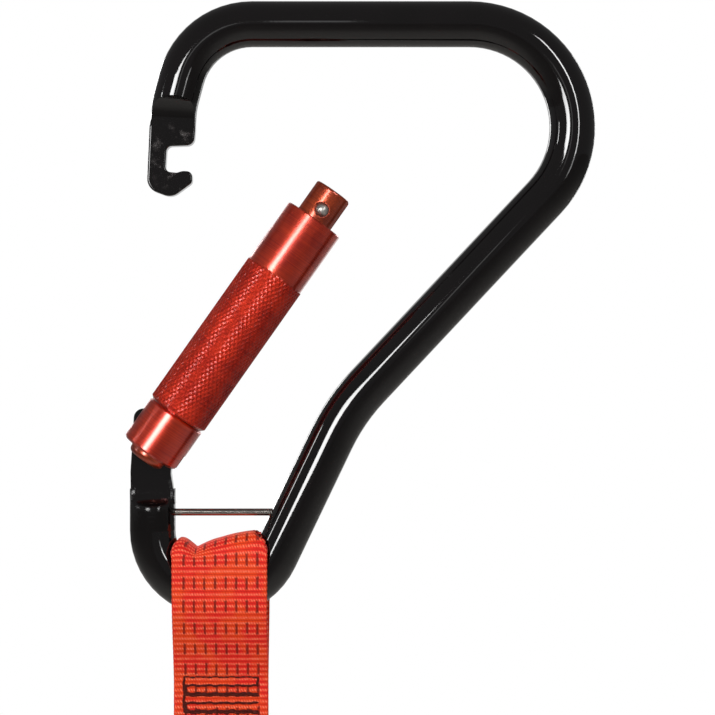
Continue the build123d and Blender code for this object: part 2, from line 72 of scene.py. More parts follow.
MM = 0.001
nodes = frame["nodes"]
joints = {joint["name"]: joint for joint in frame["joints"]}
HINGE = Vector(joints["gate_hinge"]["pos_m"])
NOSE = sum((Vector(corner) for corner in next(
    opening["box_m"] for opening in frame["record"]["physics"]["openings"]
    if opening["name"] == "nose_mouth")), Vector()) / 2
NOSE_WORN = 17 * MM     # anchors rub the nose this far from its mouth
TANG_ROOT = HINGE - Vector((0, 0, 22.5 * MM))      # where the round bar runs out
SOFT_EDGE = 2.8 * MM    # how far the wheel has rounded the edge there
SOFT_NEAR, SOFT_FAR = 11 * MM, 14 * MM      # the rounding fades out between these
FILM_RELIEF = 0.02 * MM


def tone(code):
    """An sRGB hex colour as the linear values that the shaders take."""
    parts = [int(code[i:i + 2], 16) / 255 for i in (1, 3, 5)]
    return [p / 12.92 if p <= 0.04045 else ((p + 0.055) / 1.055) ** 2.4 for p in parts] + [1.0]


def new_finish(name, **values):
    """A new material, its node tree and its shader, with the shader's own values set."""
    material = bpy.data.materials.new(name)
    material.use_nodes = True
    shader = material.node_tree.nodes["Principled BSDF"]
    for socket, value in values.items():
        shader.inputs[socket.replace("_", " ")].default_value = value
    return material, material.node_tree, shader


def node(tree, kind, inputs=(), **settings):
    """Adds a node. inputs gives each socket, by name or number, its value or its link. A Mix
    node's sockets are 0 for the share, 4 and 5 for vectors, and 6 and 7 for colours."""
    made = tree.nodes.new(kind)
    for name, value in settings.items():
        setattr(made, name, value)
    for socket, value in dict(inputs).items():
        if isinstance(value, bpy.types.NodeSocket):
            tree.links.new(value, made.inputs[socket])
        else:
            made.inputs[socket].default_value = value
    return made


def put_on(material, *names):
    """Gives CAD nodes a material."""
    for name in names:
        slots = nodes[name].data.materials
        slots.clear()
        slots.append(material)


def black_anodised():
    """Black anodised aluminium: the clear oxide film's high index gives bright, hard-edged
    reflections on black, with faint ripples of the polish, and pale rubs at the nose."""
    material, tree, shader = new_finish("black_anodised_aluminium", IOR=1.6, Metallic=0.0)
    place = node(tree, "ShaderNodeTexCoord").outputs["Object"]
    # A noise's scale is its patches to the metre: the dye's cloud is 22 mm across.
    cloud = node(tree, "ShaderNodeTexNoise", {"Vector": place, "Scale": 45.0, "Detail": 2.0})
    shade = node(tree, "ShaderNodeMix", {0: cloud.outputs["Fac"], 6: tone("#050404"),
                                         7: tone("#0e0a0b")}, data_type="RGBA")
    # Anchors rub the nose: soft pale patches of 3 to 5 mm, only close to its mouth.
    away = node(tree, "ShaderNodeVectorMath", {0: place, 1: NOSE}, operation="DISTANCE")
    near = node(tree, "ShaderNodeMapRange", {"Value": away.outputs["Value"],
                                             "From Min": NOSE_WORN, "From Max": NOSE_WORN / 2})
    rubs = node(tree, "ShaderNodeTexNoise", {"Vector": place, "Scale": 210.0, "Detail": 5.0,
                                             "Roughness": 0.62})
    rub = node(tree, "ShaderNodeMapRange", {"Value": rubs.outputs["Fac"], "From Min": 0.53,
                                            "From Max": 0.78})
    worn = node(tree, "ShaderNodeMath", {0: rub.outputs["Result"], 1: near.outputs["Result"]},
                operation="MULTIPLY")
    colour = node(tree, "ShaderNodeMix", {0: worn.outputs["Value"], 6: shade.outputs[2],
                                          7: tone("#5e5857")}, data_type="RGBA")
    tree.links.new(colour.outputs[2], shader.inputs["Base Color"])
    gloss = node(tree, "ShaderNodeMapRange", {"Value": worn.outputs["Value"], "To Min": 0.055,
                                              "To Max": 0.3})
    tree.links.new(gloss.outputs["Result"], shader.inputs["Roughness"])
    # The polish leaves ripples about 1.5 mm long, a few micrometres deep.
    ripple = node(tree, "ShaderNodeTexNoise", {"Vector": place, "Scale": 650.0, "Detail": 2.0})
    # The polishing wheel has softened the edge where the round bar runs out into the tang.
    aside = node(tree, "ShaderNodeVectorMath", {0: place, 1: TANG_ROOT}, operation="DISTANCE")
    share = node(tree, "ShaderNodeMapRange", {"Value": aside.outputs["Value"],
                                              "From Min": SOFT_FAR, "From Max": SOFT_NEAR})
    soft = node(tree, "ShaderNodeBevel", {"Radius": SOFT_EDGE}, samples=8)
    flat = node(tree, "ShaderNodeNewGeometry")
    way = node(tree, "ShaderNodeMix", {0: share.outputs["Result"], 4: flat.outputs["Normal"],
                                       5: soft.outputs["Normal"]}, data_type="VECTOR")
    bump = node(tree, "ShaderNodeBump", {"Height": ripple.outputs["Fac"], "Strength": 0.3,
                                         "Distance": FILM_RELIEF, "Normal": way.outputs[1]})
    tree.links.new(bump.outputs["Normal"], shader.inputs["Normal"])
    return material


put_on(black_anodised(), "carabiner_frame")


# ---- Pins ----------------------------------------------------------------------------
# The captive pin keeps the webbing in the lower eye. It, the hinge pin and the domed nose
# pin are stainless steel, ground and polished, and pressed into drilled holes.

def mottled(tree, shader, noise, dark, bright, smooth, rough):
    """A surface that goes from dark to bright, and from smooth to rough, with one noise."""
    shade = node(tree, "ShaderNodeMix", {0: noise.outputs["Fac"], 6: tone(dark),
                                         7: tone(bright)}, data_type="RGBA")
    tree.links.new(shade.outputs[2], shader.inputs["Base Color"])
    gloss = node(tree, "ShaderNodeMapRange", {"Value": noise.outputs["Fac"], "To Min": smooth,
                                              "To Max": rough})
    tree.links.new(gloss.outputs["Result"], shader.inputs["Roughness"])


def ground_steel(name, dark, bright, smooth, rough):
    """Ground stainless steel: neutral metal, with a fine haze from the wheel."""
    material, tree, shader = new_finish(name, Metallic=1.0)
    place = node(tree, "ShaderNodeTexCoord").outputs["Object"]
    # Grinding lines run along the captive pin, 8 mm long and 0.3 mm apart.
    lines = node(tree, "ShaderNodeMapping", {"Vector": place, "Scale": (120.0, 3200.0, 3200.0)})
    haze = node(tree, "ShaderNodeTexNoise", {"Vector": lines.outputs["Vector"], "Scale": 1.0,
                                             "Detail": 3.0})
    mottled(tree, shader, haze, dark, bright, smooth, rough)
    return material


STEEL = ground_steel("polished_stainless_steel", "#8a847e", "#b8b2ac", 0.14, 0.3)
put_on(STEEL, "captive_pin", "hinge_pin")
put_on(ground_steel("tumbled_stainless_steel", "#b9b3ac", "#dcd7d1", 0.36, 0.5), "nose_pin")


# ---- Gate barrel and hinge collar ----------------------------------------------------
# The barrel is turned aluminium, slotted at its head for the nose. The plain collar is
# pressed over the hinge pin. Both are anodised and dyed red over a bright turned surface.

AXIS = Vector(joints["sleeve_twist"]["axis"])
BACK = Vector((0.0, 1.0, 0.0))
GATE = Matrix.Translation(HINGE) @ Matrix((BACK.cross(AXIS), BACK, AXIS)).transposed().to_4x4()
GATE_LEAN = GATE.to_euler().y
TURNING = 0.35 * MM     # turning marks are finer than this, and are drawn this coarse to show


def red_anodised(name, deep, bright, film=1.0, haze=0.24):
    """Red anodised aluminium: dyed metal, deep where it mirrors the dark, under a clear film
    that keeps the lamps' reflections white. Faint turning lines ring it."""
    material, tree, shader = new_finish(name, Metallic=0.8, Coat_Weight=film, Coat_IOR=1.65,
                                        Coat_Roughness=0.2)
    place = node(tree, "ShaderNodeTexCoord").outputs["Object"]
    square = node(tree, "ShaderNodeMapping", {"Vector": place, "Location": HINGE,
                                              "Rotation": (0.0, GATE_LEAN, 0.0)},
                  vector_type="TEXTURE")
    rings = node(tree, "ShaderNodeMapping", {"Vector": square.outputs["Vector"],
                                             "Scale": (20.0, 20.0, 1 / TURNING)})
    marks = node(tree, "ShaderNodeTexNoise", {"Vector": rings.outputs["Vector"], "Scale": 1.0,
                                              "Detail": 2.0})
    # The dye's cloud is 9 mm across, and the turning marks add to it.
    cloud = node(tree, "ShaderNodeTexNoise", {"Vector": place, "Scale": 110.0, "Detail": 3.0})
    blend = node(tree, "ShaderNodeMath", {0: cloud.outputs["Fac"], 1: marks.outputs["Fac"]},
                 operation="ADD")
    share = node(tree, "ShaderNodeMapRange", {"Value": blend.outputs["Value"], "From Min": 0.7,
                                              "From Max": 1.3})
    shade = node(tree, "ShaderNodeMix", {0: share.outputs["Result"], 6: tone(deep),
                                         7: tone(bright)}, data_type="RGBA")
    tree.links.new(shade.outputs[2], shader.inputs["Base Color"])
    gloss = node(tree, "ShaderNodeMapRange", {"Value": marks.outputs["Fac"], "To Min": haze,
                                              "To Max": haze + 0.14})
    tree.links.new(gloss.outputs["Result"], shader.inputs["Roughness"])
    bump = node(tree, "ShaderNodeBump", {"Height": marks.outputs["Fac"], "Strength": 0.2,
                                         "Distance": FILM_RELIEF})
    tree.links.new(bump.outputs["Normal"], shader.inputs["Normal"])
    return material


put_on(red_anodised("red_anodised_barrel", "#8e2606", "#cc4a12"), "gate_barrel")
SLEEVE_RED = red_anodised("red_anodised_sleeve", "#ae1c07", "#de3c12")
put_on(SLEEVE_RED, "hinge_collar")


# ---- Springs, plunger, bush and guide pin --------------------------------------------
# These work out of sight inside the barrel and the sleeve. The springs are drawn wire, the
# plunger and the guide pin are ground steel, and the bush is turned acetal.

def spring_wire():
    """Drawn spring steel: greyer than the pins, and dulled by its oil."""
    material, tree, shader = new_finish("drawn_spring_steel", Metallic=1.0)
    place = node(tree, "ShaderNodeTexCoord").outputs["Object"]
    # The oil lies in patches of 1.4 mm.
    film = node(tree, "ShaderNodeTexNoise", {"Vector": place, "Scale": 700.0, "Detail": 3.0})
    mottled(tree, shader, film, "#6d6b68", "#9a9792", 0.25, 0.5)
    return material


def turned_acetal():
    """Black acetal: a smooth, waxy plastic with turning marks, drawn 0.8 mm coarse."""
    material, tree, shader = new_finish("turned_acetal", IOR=1.48)
    place = node(tree, "ShaderNodeTexCoord").outputs["Object"]
    marks = node(tree, "ShaderNodeTexNoise", {"Vector": place, "Scale": 1200.0, "Detail": 2.0})
    mottled(tree, shader, marks, "#161616", "#2a2a2a", 0.3, 0.5)
    return material


put_on(spring_wire(), "gate_spring", "sleeve_spring")
put_on(turned_acetal(), "sleeve_bush")
put_on(STEEL, "gate_plunger", "sleeve_guide_pin")


# ---- Twist sleeve --------------------------------------------------------------------
# The sleeve is turned from aluminium tube, knurled where the fingers turn it, slotted at
# its mouth to let the nose in, and anodised red. It is turned on the gate's own axis.

FOOT, KNURL_TOP, MOUTH = 17.6 * MM, 88.5 * MM, 116.2 * MM      # above the hinge
SLEEVE_R, KNURL_R, EDGE = 12.9 * MM, 13.2 * MM, 0.9 * MM
POCKET_R, LAND_R, CHAMBER_R = 10.4 * MM, 8.65 * MM, 10.2 * MM
POCKET_FLOOR, LAND_FLOOR = 102.5 * MM, 90.5 * MM
SLOT_W, SLOT_H, PIN_HOLE_R, PIN_HOLE_Z = 7 * MM, 13 * MM, 1.5 * MM, 96.5 * MM
KNURL_STARTS = 42       # ridges each way round
KNURL_LEAN = radians(34)        # from the sleeve's axis
KNURL_DEEP = 0.25 * MM
KNURL_CREASE = radians(24)      # edges sharper than this stay sharp
AROUND = 2 * pi * KNURL_R / KNURL_STARTS       # from ridge to ridge round the sleeve
KNURL_ROWS = round((KNURL_TOP - FOOT - 2 * EDGE) / (AROUND / tan(KNURL_LEAN) / 4))
KNURL_LOW, KNURL_HIGH = FOOT + EDGE, KNURL_TOP - EDGE


def settle(piece):
    """Makes a piece's modifiers part of its mesh."""
    bpy.context.view_layer.update()
    shaped = piece.evaluated_get(bpy.context.evaluated_depsgraph_get())
    mesh = bpy.data.meshes.new_from_object(shaped)
    piece.modifiers.clear()
    piece.data = mesh


def cut_with(piece, cutter):
    """Cuts one solid out of another, and removes the cutter."""
    modifier = piece.modifiers.new("cut", "BOOLEAN")
    modifier.object = cutter
    modifier.solver = "EXACT"
    settle(piece)
    bpy.data.objects.remove(cutter)


def new_piece(name, made, material=None):
    """An object at the origin from a finished bmesh."""
    mesh = bpy.data.meshes.new(name)
    made.to_mesh(mesh)
    made.free()
    piece = bpy.data.objects.new(name, mesh)
    bpy.context.scene.collection.objects.link(piece)
    if material:
        mesh.materials.append(material)
    return piece


def turned_sleeve():
    """The sleeve's wall, spun from its half section, on the Z axis."""
    rows = [(KNURL_R, z) for z in np.linspace(KNURL_LOW, KNURL_HIGH, KNURL_ROWS + 1)]
    section = rows + [
        (SLEEVE_R, KNURL_HIGH + EDGE / 3), (SLEEVE_R, KNURL_HIGH + EDGE),
        (SLEEVE_R, MOUTH - EDGE), (SLEEVE_R, MOUTH - EDGE / 2),
        (SLEEVE_R - EDGE / 2, MOUTH), (POCKET_R + EDGE / 3, MOUTH),
        (POCKET_R, MOUTH - EDGE / 3), (POCKET_R, POCKET_FLOOR),
        (LAND_R, POCKET_FLOOR), (LAND_R, LAND_FLOOR),
        (CHAMBER_R, LAND_FLOOR), (CHAMBER_R, FOOT), (KNURL_R - EDGE, FOOT)]
    made = bmesh.new()
    ring = [made.verts.new((r, 0, z)) for r, z in section]
    lines = [made.edges.new((a, b)) for a, b in zip(ring, ring[1:] + ring[:1])]
    bmesh.ops.spin(made, geom=ring + lines, cent=(0, 0, 0), axis=(0, 0, 1), angle=2 * pi,
                   steps=4 * KNURL_STARTS, use_merge=True)
    bmesh.ops.remove_doubles(made, verts=made.verts, dist=1e-7)
    bmesh.ops.recalc_face_normals(made, faces=made.faces)
    return new_piece("knurled_sleeve", made, SLEEVE_RED)


def slot_cutter():
    """A block as wide as the slot, from the axis out through one side of the wall."""
    made = bmesh.new()
    reach = 30 * MM
    bmesh.ops.create_cube(made, size=1, matrix=Matrix.Translation((-reach / 2, 0, MOUTH))
                          @ Matrix.Diagonal((reach, SLOT_W, 2 * SLOT_H, 1)))
    return new_piece("cutter", made)


def hole_cutter():
    """A round cutter for the guide pin's hole, from the axis out through the back."""
    made = bmesh.new()
    reach = 20 * MM
    bmesh.ops.create_cone(made, cap_ends=True, segments=32, radius1=PIN_HOLE_R,
                          radius2=PIN_HOLE_R, depth=reach,
                          matrix=Matrix.Translation((0, reach / 2, PIN_HOLE_Z))
                          @ Matrix.Rotation(pi / 2, 4, "X"))
    return new_piece("cutter", made)


def on_grip(v):
    """Whether a point is on the outside of the part that is knurled."""
    hair = 0.001 * MM
    return KNURL_LOW - hair < v.co.z < KNURL_HIGH + hair and (
        v.co.xy.length > SLEEVE_R + 10 * hair)


def knurl(piece):
    """Rolls two crossing sets of ridges on the grip, with small pits between them."""
    made = bmesh.new()
    made.from_mesh(piece.data)
    grip = [f for f in made.faces if all(on_grip(v) for v in f.verts)]
    for face in bmesh.ops.poke(made, faces=grip)["faces"]:
        face.material_index = 1
    for v in filter(on_grip, made.verts):
        round_way = np.arctan2(v.co.y, v.co.x) / (2 * pi) * KNURL_STARTS
        up_way = (v.co.z - KNURL_LOW) / (KNURL_HIGH - KNURL_LOW) * KNURL_ROWS / 4
        # A point is as deep as the nearer of the two sets' ridges lets it be.
        sunk = min(abs(2 * (way % 1) - 1) for way in (round_way + up_way, round_way - up_way))
        v.co.xy *= (KNURL_R - KNURL_DEEP * sunk) / v.co.xy.length
    made.transform(GATE)
    bmesh.ops.recalc_face_normals(made, faces=made.faces)
    made.to_mesh(piece.data)
    made.free()
    piece.data.materials.append(red_anodised("red_anodised_knurl", "#9c1409", "#d93416",
                                             film=0.3, haze=0.44))
    piece.data.shade_smooth()
    piece.data.set_sharp_from_angle(angle=KNURL_CREASE)


sleeve = turned_sleeve()
cut_with(sleeve, slot_cutter())
cut_with(sleeve, hole_cutter())
knurl(sleeve)
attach(sleeve, "sleeve")
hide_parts("lock_sleeve")


# ---- Webbing -------------------------------------------------------------------------
# The sling is one band of woven polyester webbing, led over the bow, with its two plies
# sewn together below and parted again for the lower eye. Its ribs are the weft, and dark
# tracer yarns show as dashes. The bow's sides squeeze the fold, which buckles it.

WEB_W, WEB_T = 39.4 * MM, 2.3 * MM
RIB = 2.35 * MM         # from weft to weft
RIB_HIGH = 0.17 * MM
ROWS_PER_RIB, COLUMNS = 4, 44
TRACERS, TRACER_GAP = 8, 4.3 * MM      # tracer yarns, and the distance between them
TRACER_SHIFT = 0.8 * MM                # they are not quite in the middle of the band
YARN = 1.1 * MM         # from yarn to yarn along a rib, drawn coarse enough to show
YARN_RELIEF = 0.14 * MM
SELVEDGE = 1.0 * MM     # the woven edge is this wide,
SELVEDGE_THIN, SELVEDGE_WAVE = 0.22 * MM, 0.14 * MM     # thinner, and waved by the ribs
DASH, DASH_GAP = 4.9 * MM, 4.5 * MM    # each tracer shows for two wefts, then hides for two
BOW_BAR = Vector(joints["sling_swing"]["pos_m"])
BAR_R, BOW_R = 9.5 * MM, 26.6 * MM
BOW = Vector((-104.75 * MM, 0, -167 * MM))     # centre of the bow's bend
EYE_LEFT, EYE_RIGHT = -120.5 * MM, -88.2 * MM  # room for the fold between the bow's sides
WEB_CLEAR = 0.12 * MM   # the web keeps this far off the bar,
BESIDE = 14 * MM        # down to this far below the bar's middle
fold_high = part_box("webbing_fold")[1]
sling_low, sling_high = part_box("webbing_sling")
WEB_X = (sling_low.x + sling_high.x) / 2 + 0.3 * MM     # it hangs a little to the right
FLAT_TOP = 0.75         # 1 would be a round fold, and 0 a square one
END_GAP = 0.3 * MM      # between the band's two ends
BUCKLE_FROM, BUCKLE_OVER = -180 * MM, 10 * MM  # height where the buckling starts, and its rise
SQUEEZE_OUT, SQUEEZE_OVER = 8 * MM, 5 * MM     # from the bow's plane, where the squeeze ends
RIM = 0.28              # the rim that is squeezed in starts at this share of the width
WAVE_HIGH, WAVE_LONG, WAVE_WIDE = 0.25 * MM, 17 * MM, 11 * MM
LOOSE_FROM, LOOSE_OVER = 2 * MM, 6 * MM        # the waves grow as a ply stands away from sewing


def ease(share):
    """A smooth step, which is 0 up to 0 and 1 from 1 on."""
    share = np.clip(share, 0, 1)
    return share * share * (3 - 2 * share)


def smooth(points, places):
    """A smooth curve through points, read at places from 0 to 1 along them."""
    points = np.array(points, float)
    spans = len(points) - 1
    ends = np.vstack([2 * points[0] - points[1], points, 2 * points[-1] - points[-2]])
    at = np.clip(np.array(places, float) * spans, 0, spans - 1e-9)
    k = at.astype(int)
    t = (at - k)[:, None]
    a, b, c, d = ends[k], ends[k + 1], ends[k + 2], ends[k + 3]
    return 0.5 * (2 * b + (c - a) * t + (2 * a - 5 * b + 4 * c - d) * t ** 2
                  + (3 * b - a - 3 * c + d) * t ** 3)


def strap_side():
    """The middle of the strap's thickness seen edge on, as even steps of (y, z). It starts
    and ends in the back ply at the foot of the sewn block, where the band's ends meet."""
    half = WEB_T / 2
    reach = fold_high.y - half
    eye = sling_high.y - half
    top = fold_high.z - half
    foot = sling_low.z + half
    arch = [(-reach * cos(a) ** FLAT_TOP, top - reach + reach * sin(a) ** FLAT_TOP)
            for a in np.linspace(0, pi / 2, 8)]
    cup = [(-eye * sin(a), foot + eye - eye * cos(a)) for a in np.linspace(0, pi / 2, 6)]
    plies = [(-half, z * MM) for z in (-302, -280, -255, -232)]
    eye_side = [(-eye, -340 * MM), (-eye, -328 * MM), (-8.9 * MM, -320.5 * MM),
                (-4.9 * MM, -312.5 * MM), (-2.0 * MM, -307 * MM)]
    flank = [(-1.9 * MM, -226 * MM), (-4.6 * MM, -217.5 * MM), (-8.4 * MM, -207.5 * MM),
             (-10.8 * MM, -199 * MM), (-reach, -190 * MM)]
    front = cup + eye_side + plies + flank + arch
    back = [(-y, z) for y, z in front[-2:0:-1]]
    band = front + back
    start = len(front) + back.index((half, -302 * MM))
    dense = smooth(band[start:] + band[:start + 1], np.linspace(0, 1, 6001))
    run = np.concatenate([[0], np.cumsum(np.hypot(*np.diff(dense, axis=0).T))])
    rows = ROWS_PER_RIB * round(run[-1] / RIB)
    steps = np.linspace(END_GAP / 2, run[-1] - END_GAP / 2, rows + 1)
    return steps, np.column_stack([np.interp(steps, run, dense[:, k]) for k in (0, 1)])


def fold_height(x):
    """How high the strap's fold lies over the bow at each x: it is squeezed between the bow's
    sides, so it rises, dips and rises again."""
    line = [(-123.2, -174.6), (-122.2, -171.8), (-120.4, -170.2), (-118.2, -170.2),
            (-115.6, -172.0), (-113.0, -173.8), (-110.3, -172.7), (-106.4, -171.0),
            (-102.0, -169.7), (-98.0, -168.6), (-94.0, -167.8), (-90.5, -167.3),
            (-87.6, -167.1), (-85.4, -167.6), (-84.2, -169.6)]
    crest = smooth(np.array(line) * MM, np.linspace(0, 1, 400))
    return np.interp(x, *crest.T)


def clear_of_bow(x, y, z, gap):
    """Moves points that would lie in the bow's bar out to its surface."""
    in_x, in_z = x - BOW.x, np.minimum(z - BOW.z, 0)
    ring = np.hypot(in_x, in_z)
    off = np.hypot(ring - BOW_R, y)
    push = np.maximum(BAR_R + gap, off) / np.maximum(off, 1e-9)
    new_ring = BOW_R + (ring - BOW_R) * push
    scale = new_ring / np.maximum(ring, 1e-9)
    return BOW.x + in_x * scale, y * push, z + in_z * (scale - 1)


def laid_strap():
    """The band as a thin grid laid along its path, with its place on the cloth kept in the
    attributes across and along, in metres."""
    steps, side = strap_side()
    made = bmesh.new()
    bmesh.ops.create_grid(made, x_segments=COLUMNS, y_segments=len(steps) - 1, size=0.5)
    across = made.verts.layers.float.new("across")
    along = made.verts.layers.float.new("along")
    shape = np.array([v.co for v in made.verts])
    col = shape[:, 0] + 0.5
    row = np.rint((shape[:, 1] + 0.5) * (len(steps) - 1)).astype(int)
    y, z = side[row, 0], side[row, 1]
    x = WEB_X + (col - 0.5) * WEB_W
    # Inside the eye the web's edges are squeezed between the bow's sides, and it buckles.
    lift = ease((z - BUCKLE_FROM) / BUCKLE_OVER)
    inside = lift * ease((SQUEEZE_OUT - np.abs(y)) / SQUEEZE_OVER)
    rim = ease((np.abs(col - 0.5) - RIM) / (0.5 - RIM))
    edge = np.where(col < 0.5, EYE_LEFT - x.min(), EYE_RIGHT - x.max())
    x = x + edge * rim * inside
    z = z + (fold_height(x) - fold_high.z) * lift
    # The web is never dead flat: slow waves of a fraction of a millimetre.
    wave = WAVE_HIGH * np.sin(z / WAVE_LONG + 1.1) * np.sin((x - WEB_X) / WAVE_WIDE + 0.4)
    loose = np.clip((np.abs(y) - LOOSE_FROM) / LOOSE_OVER, 0, 1)
    y = y + wave * loose * np.sign(y)
    beside_bar = z > BOW_BAR.z - BESIDE
    clear = clear_of_bow(x, y, z, WEB_T / 2 + WEB_CLEAR)
    x, y, z = (np.where(beside_bar, new, old) for new, old in zip(clear, (x, y, z)))
    for v, px, py, pz, pc, pr in zip(made.verts, x, y, z, col, row):
        v.co = px, py, pz
        v[across] = (pc - 0.5) * WEB_W
        v[along] = steps[pr]
    bmesh.ops.recalc_face_normals(made, faces=made.faces)
    return new_piece("webbing_strap", made)


def woven_relief(piece):
    """Raises the weft ribs on both faces and rounds the selvedges."""
    made = bmesh.new()
    made.from_mesh(piece.data)
    made.normal_update()
    across = made.verts.layers.float["across"]
    along = made.verts.layers.float["along"]
    ways = [v.normal.copy() for v in made.verts]
    for v, way in zip(made.verts, ways):
        phase = (v[along] / RIB) % 1
        hump = sqrt(max(0.0, 1 - (2 * phase - 1) ** 2))
        edge = max(0.0, abs(v[across]) - (WEB_W / 2 - SELVEDGE)) / SELVEDGE
        v.co += way * (RIB_HIGH * (hump - 0.5) * (1 - edge) - SELVEDGE_THIN * edge)
        v.co.x += np.sign(v[across]) * SELVEDGE_WAVE * (hump - 1) * edge
    made.to_mesh(piece.data)
    made.free()


def woven_webbing():
    """Woven polyester: matt orange-red ribs, with painted highlights on the yarns' crowns as rows of small slanted
    beads, painted shade between the ribs and between the yarns, and eight rows of dark tracer dashes."""
    material, tree, shader = new_finish("woven_polyester_webbing", Sheen_Weight=0.06,
                                        Sheen_Roughness=0.5, Specular_IOR_Level=0.2)
    across = node(tree, "ShaderNodeAttribute", attribute_name="across").outputs["Fac"]
    along = node(tree, "ShaderNodeAttribute", attribute_name="along").outputs["Fac"]
    place = node(tree, "ShaderNodeTexCoord").outputs["Object"]

    def wave(source, length):
        """0 at each multiple of a length along the cloth, and 0.5 half way between."""
        turns = node(tree, "ShaderNodeMath", {0: source, 1: 1 / length}, operation="MULTIPLY")
        return node(tree, "ShaderNodeMath", {0: turns.outputs["Value"], 1: 0.5},
                    operation="PINGPONG").outputs["Value"]

    # The dye differs over 11 mm, the yarns wander over 6 mm, and a fibre is 0.7 mm long.
    dye, wander, fibre = (node(tree, "ShaderNodeTexNoise", {
        "Vector": place, "Scale": scale, "Detail": detail}).outputs["Fac"]
        for scale, detail in ((90.0, 2.0), (180.0, 2.0), (1500.0, 3.0)))
    rib = wave(along, RIB)
    # The yarns cross each rib on a slant.
    slant = node(tree, "ShaderNodeMath", {0: along, 1: YARN / RIB, 2: across},
                 operation="MULTIPLY_ADD").outputs["Value"]
    yarn = wave(slant, YARN)
    # The tracers wander both ways, so no two dashes are quite alike.
    slip = node(tree, "ShaderNodeMath", {0: wander, 1: 2.6 * MM, 2: along},
                operation="MULTIPLY_ADD").outputs["Value"]
    shifted = node(tree, "ShaderNodeMath", {0: across, 1: TRACER_SHIFT},
                   operation="SUBTRACT").outputs["Value"]
    sway = node(tree, "ShaderNodeMath", {0: wander, 1: 0.7 * MM, 2: shifted},
                operation="MULTIPLY_ADD").outputs["Value"]
    reach = node(tree, "ShaderNodeMath", {0: shifted}, operation="ABSOLUTE").outputs["Value"]
    # Each coat covers the ones before by the product of its shares. A share goes smoothly
    # from one value to another, as its source goes from a low to a high one.
    coats = [
        # (colour, (source, low, high, from, to), ...)
        ("#f0430f", (dye, 0.4, 0.6, 0.0, 1.0)),
        # Painted shade: between the ribs, in their valleys, it is darker.
        ("#a8160b", (rib, 0.0, 0.15, 0.65, 0.0)),
        # Painted highlight: the yarns' crowns on the ribs are lighter, fibre by fibre, as where they catch the
        # light.
        ("#ff8360", (rib, 0.22, 0.4, 0.0, 1.0), (yarn, 0.1, 0.4, 0.4, 1.0),
         (fibre, 0.38, 0.6, 0.3, 1.0)),
        # Painted shade: the gaps between the yarns are darker on the ribs.
        ("#a8150c", (yarn, 0.03, 0.22, 0.65, 0.0), (rib, 0.05, 0.25, 0.0, 1.0)),
        # The tracers' dashes are weaker between the ribs, and end after the last tracer.
        ("#6a1209", (wave(slip, DASH + DASH_GAP), 0.2, 0.3, 0.9, 0.08),
         (wave(sway, TRACER_GAP), 0.34, 0.43, 0.0, 1.0), (rib, 0.0, 0.25, 0.7, 1.0),
         (reach, TRACERS / 2 * TRACER_GAP, (TRACERS / 2 + 0.1) * TRACER_GAP, 1.0, 0.0))]
    body = tone("#ec2219")
    for colour, *shares in coats:
        cover = 1.0
        for source, low, high, first, last in shares:
            share = node(tree, "ShaderNodeMapRange", {
                "Value": source, "From Min": low, "From Max": high, "To Min": first,
                "To Max": last}, interpolation_type="SMOOTHSTEP")
            cover = node(tree, "ShaderNodeMath", {0: cover, 1: share.outputs["Result"]},
                         operation="MULTIPLY").outputs["Value"]
        body = node(tree, "ShaderNodeMix", {0: cover, 6: body, 7: tone(colour)},
                    data_type="RGBA").outputs[2]
    tree.links.new(body, shader.inputs["Base Color"])
    gloss = node(tree, "ShaderNodeMapRange", {
        "Value": fibre, "From Min": 0.3, "From Max": 0.7, "To Min": 0.5, "To Max": 0.75},
        interpolation_type="SMOOTHSTEP")
    tree.links.new(gloss.outputs["Result"], shader.inputs["Roughness"])
    height = node(tree, "ShaderNodeMath", {0: yarn, 1: 1.8, 2: fibre}, operation="MULTIPLY_ADD")
    bump = node(tree, "ShaderNodeBump", {"Height": height.outputs["Value"], "Strength": 0.7,
                                         "Distance": YARN_RELIEF})
    tree.links.new(bump.outputs["Normal"], shader.inputs["Normal"])
    return material


strap = laid_strap()
thick = strap.modifiers.new("thickness", "SOLIDIFY")
thick.thickness = WEB_T - RIB_HIGH
thick.offset = 0
settle(strap)
woven_relief(strap)
strap.data.materials.append(woven_webbing())
strap.data.shade_smooth()
# It turns with the sling in a short length under the bar.
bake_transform(strap, "frame", "sling", start=(BOW_BAR.x, 0, BOW_BAR.z + 8 * MM),
         end=(BOW_BAR.x, 0, BOW_BAR.z - 28 * MM))
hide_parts("webbing_fold", "webbing_sling")


# ---- Stitching -----------------------------------------------------------------------
# The plies are lockstitched with heavy bonded black thread, to and fro across the web in
# rows joined down the left side. Some rows are sewn twice, and look thicker.

STITCH = 2.3 * MM       # one stitch
THREAD = 0.88 * MM
LOOP_LONG, LOOP_DEEP, LOOP_HIGH = 0.7 * STITCH, 0.48 * THREAD, 0.58 * THREAD   # half sizes
STITCH_PROUD = 0.12 * MM        # from the web's face to the stitches' middles
WANDER = 0.18 * MM      # how far a stitch strays from its row
STITCH_W, STITCH_PITCH, STITCH_ROWS = 30.5 * MM, 3.6 * MM, 5
TWICE = (2, 4)          # rows sewn twice,
TWICE_OFF = 0.38 * MM   # this far on each side of the row
SIDE_OFF = 0.8 * MM     # from the left side's seam to its second run


def bonded_thread():
    """Bonded polyester thread: nearly black, with a red cast painted in as the red web's light on it, and a fine
    twist.
    """
    material, tree, shader = new_finish("bonded_thread", Specular_IOR_Level=0.2)
    place = node(tree, "ShaderNodeTexCoord").outputs["Object"]
    # The thread's twist is 0.5 mm long.
    ply = node(tree, "ShaderNodeTexNoise", {"Vector": place, "Scale": 2200.0, "Detail": 2.0})
    mottled(tree, shader, ply, "#2c0a06", "#60190e", 0.45, 0.65)
    return material


